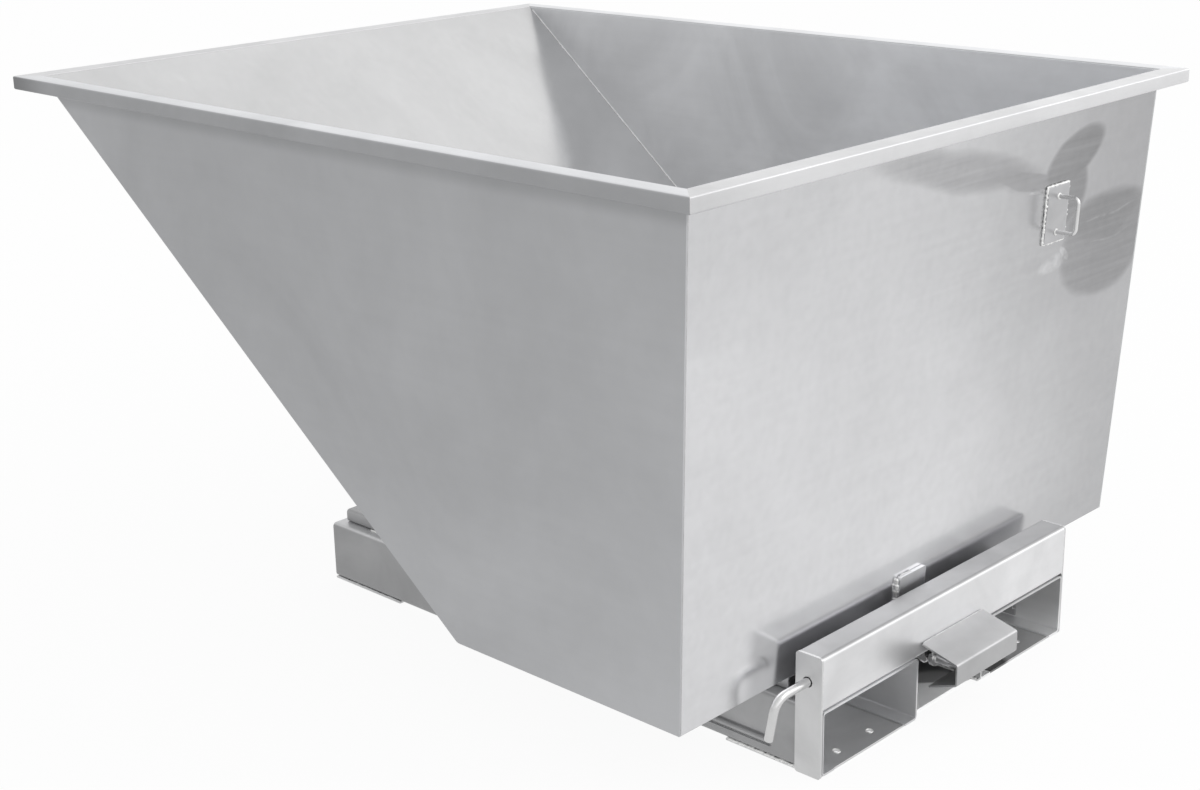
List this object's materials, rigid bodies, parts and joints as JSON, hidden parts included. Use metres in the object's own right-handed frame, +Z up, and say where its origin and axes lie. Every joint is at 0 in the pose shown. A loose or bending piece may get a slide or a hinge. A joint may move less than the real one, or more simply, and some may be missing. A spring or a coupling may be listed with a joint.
{
  "type": "tipping skip",
  "caption": "Stainless self-tipping skip: tapered open bin with a tube rim on curved rockers that roll along a fork-pocket base, held shut by a lever-released latch bolt.",
  "frame": {"origin": "on the ground, in the middle of the width and of the whole length (bottom centre of the bounding box); the fork pockets' mouths are at y = -0.635 m", "axes": "+X to the right seen from the fork side, +Y away from the forks towards the pouring lip, +Z up"},
  "size_m": [1.08, 1.3846, 0.792],
  "materials": {
    "sheet": "mill-finish stainless sheet, lightly brushed, semi-matt",
    "tube": "ground stainless tube with bright rounded edges",
    "bar": "bright drawn stainless bar"
  },
  "bodies": {
    "base": {"fork_pocket_right": "sheet", "fork_pocket_left": "sheet", "recess_panel_right": "sheet", "recess_panel_left": "sheet", "rear_tie_plate": "sheet", "front_tie_plate": "sheet", "track_rail_right": "sheet", "track_rail_left": "sheet", "rail_stop_right": "bar", "rail_stop_left": "bar", "crossbar": "tube", "end_plate_right": "sheet", "end_plate_left": "sheet", "latch_hood": "sheet", "shaft_bearing_1": "bar", "shaft_bearing_2": "bar", "shaft_bearing_3": "bar", "bolt_guide": "bar"},
    "release_lever": {"release_shaft": "bar", "shift_fork": "bar", "shaft_washer": "bar", "split_pin": "bar"},
    "bolt": {"latch_bolt": "bar", "bolt_collar_rear": "bar", "bolt_collar_front": "bar"},
    "keeper": {"keeper_bar": "bar", "keeper_claw_right": "bar", "keeper_claw_left": "bar"},
    "bin": {"side_wall_right": "sheet", "side_wall_left": "sheet", "rear_wall": "sheet", "bottom_sheet": "sheet", "rim_side_right": "tube", "rim_side_left": "tube", "rim_rear": "tube", "rim_front": "tube", "rocker_tread_right": "bar", "rocker_tread_left": "bar", "rocker_web_right": "sheet", "rocker_web_left": "sheet", "rocker_brace": "sheet", "catch_plate": "sheet", "handle_pad": "sheet", "handle_bar": "bar"}
  },
  "joints": [
    {"name": "keeper_travel", "type": "slide", "parent": "base", "child": "keeper", "axis": [0, 1, 0], "range_m": [0, 0.468]},
    {"name": "bin_tip", "type": "hinge", "parent": "keeper", "child": "bin", "pos_m": [0, -0.18825, 0.4936], "axis": [-1, 0, 0], "range_deg": [0, 70.5]},
    {"name": "release_turn", "type": "hinge", "parent": "base", "child": "release_lever", "pos_m": [0, -0.61275, 0.1305], "axis": [-1, 0, 0], "range_deg": [-18, 6]},
    {"name": "bolt_slide", "type": "slide", "parent": "base", "child": "bolt", "axis": [0, -1, 0], "range_m": [-0.0161, 0.0054]}
  ],
  "couplings": [
    {"joint": "keeper_travel", "follows": "bin_tip", "m_per_rad": 0.38},
    {"joint": "bolt_slide", "follows": "release_turn", "m_per_rad": 0.051}
  ]
}
